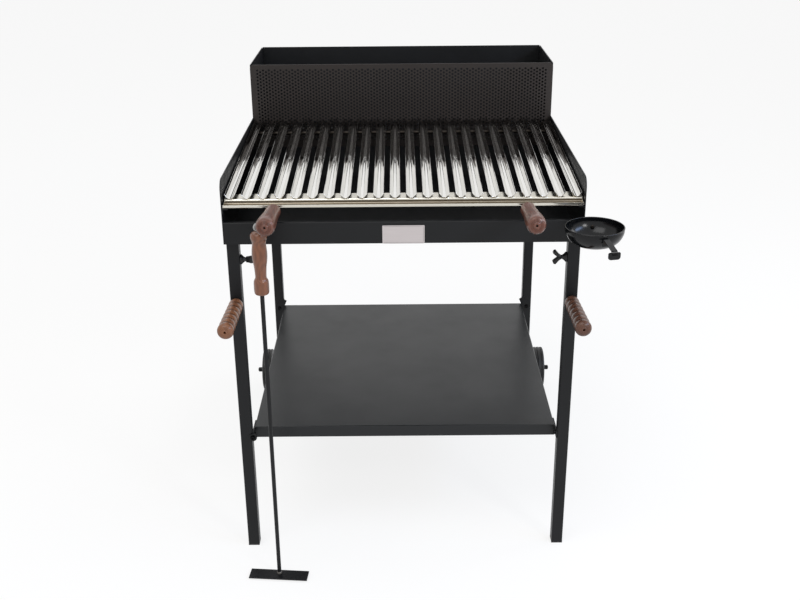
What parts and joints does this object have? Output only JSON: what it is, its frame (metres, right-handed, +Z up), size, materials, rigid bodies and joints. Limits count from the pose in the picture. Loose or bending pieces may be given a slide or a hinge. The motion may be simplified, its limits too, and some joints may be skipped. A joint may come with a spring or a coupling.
{
  "type": "charcoal barbecue",
  "caption": "Wheeled steel charcoal barbecue with a sloping lift-off channel-bar grill, a rear firewood basket, a low shelf, wooden handles, a hanging ember rake and a hook-on grease pan.",
  "frame": {"origin": "on the floor, under the middle of the bounding box", "axes": "+Z up, +X to the right seen from the cook's side, the cook stands on the -Y side and the wheels are on the +Y side"},
  "size_m": [0.852, 1.0398, 0.998],
  "materials": {
    "black_paint": "satin",
    "shelf_paint": "satin",
    "stainless": "brushed",
    "zinc": "satin",
    "wood": "varnished",
    "plastic": "satin",
    "wheel_plastic": "semi-gloss",
    "pan_enamel": "gloss",
    "plate_metal": "satin"
  },
  "bodies": {
    "frame": {"left_side_panel": "black_paint", "right_side_panel": "black_paint", "firebox_floor": "black_paint", "front_panel": "black_paint", "back_panel": "black_paint", "basket_front": "black_paint", "left_grate_ledge": "black_paint", "right_grate_ledge": "black_paint", "left_grill_rail": "black_paint", "right_grill_rail": "black_paint", "front_left_stub": "black_paint", "front_right_stub": "black_paint", "rear_left_stub": "black_paint", "rear_right_stub": "black_paint", "front_left_leg": "black_paint", "front_right_leg": "black_paint", "rear_left_leg": "black_paint", "rear_right_leg": "black_paint", "leg_end_caps": "plastic", "shelf": "shelf_paint", "shelf_brackets": "black_paint", "shelf_screws": "zinc", "axle": "zinc", "left_axle_bracket": "black_paint", "right_axle_bracket": "black_paint", "axle_bracket_screws": "zinc", "axle_caps": "plastic", "left_leg_handle": "wood", "right_leg_handle": "wood", "leg_handle_studs": "zinc", "rake_hook": "black_paint", "pan_bracket": "black_paint", "nameplate": "plate_metal"},
    "grill": {"grill_bars": "stainless", "grease_gutter": "stainless", "grill_cross_rod": "stainless", "left_grill_handle": "wood", "right_grill_handle": "wood", "grill_handle_rods": "zinc"},
    "left_wheel_body": {"left_wheel": "wheel_plastic"},
    "right_wheel_body": {"right_wheel": "wheel_plastic"},
    "rake": {"rake_handle": "wood", "rake_rod": "black_paint", "rake_blade": "black_paint", "rake_eye": "zinc"},
    "pan": {"pan_bowl": "pan_enamel", "pan_strap": "pan_enamel", "pan_hook": "pan_enamel", "pan_rivets": "zinc"},
    "grate": {"fire_grate": "black_paint", "grate_cross_bars": "black_paint"},
    "front_left_screw": {"front_left_wing_screw": "plastic"},
    "front_right_screw": {"front_right_wing_screw": "plastic"},
    "rear_left_screw": {"rear_left_wing_screw": "plastic"},
    "rear_right_screw": {"rear_right_wing_screw": "plastic"}
  },
  "joints": [
    {"name": "left_wheel_spin", "type": "hinge", "parent": "frame", "child": "left_wheel_body", "pos_m": [-0.395, 0.45993, 0.06], "axis": [1, 0, 0], "continuous": true},
    {"name": "right_wheel_spin", "type": "hinge", "parent": "frame", "child": "right_wheel_body", "pos_m": [0.395, 0.45993, 0.06], "axis": [1, 0, 0], "continuous": true},
    {"name": "grill_lift", "type": "slide", "parent": "frame", "child": "grill", "axis": [0, 0, 1], "range_m": [0, 0.15]},
    {"name": "grate_lift", "type": "slide", "parent": "frame", "child": "grate", "axis": [0, 0, 1], "range_m": [0, 0.25]},
    {"name": "rake_swing", "type": "hinge", "parent": "frame", "child": "rake", "pos_m": [-0.277, -0.42706, 0.808], "axis": [0, 1, 0], "range_deg": [-25, 12]},
    {"name": "pan_lift", "type": "slide", "parent": "frame", "child": "pan", "axis": [0, 0, 1], "range_m": [0, 0.06]},
    {"name": "front_left_screw_turn", "type": "hinge", "parent": "frame", "child": "front_left_screw", "pos_m": [-0.334, -0.30456, 0.695], "axis": [1, 0, 0], "continuous": true},
    {"name": "front_right_screw_turn", "type": "hinge", "parent": "frame", "child": "front_right_screw", "pos_m": [0.334, -0.30456, 0.695], "axis": [1, 0, 0], "continuous": true},
    {"name": "rear_left_screw_turn", "type": "hinge", "parent": "frame", "child": "rear_left_screw", "pos_m": [-0.334, 0.40943, 0.695], "axis": [1, 0, 0], "continuous": true},
    {"name": "rear_right_screw_turn", "type": "hinge", "parent": "frame", "child": "rear_right_screw", "pos_m": [0.334, 0.40943, 0.695], "axis": [1, 0, 0], "continuous": true}
  ]
}
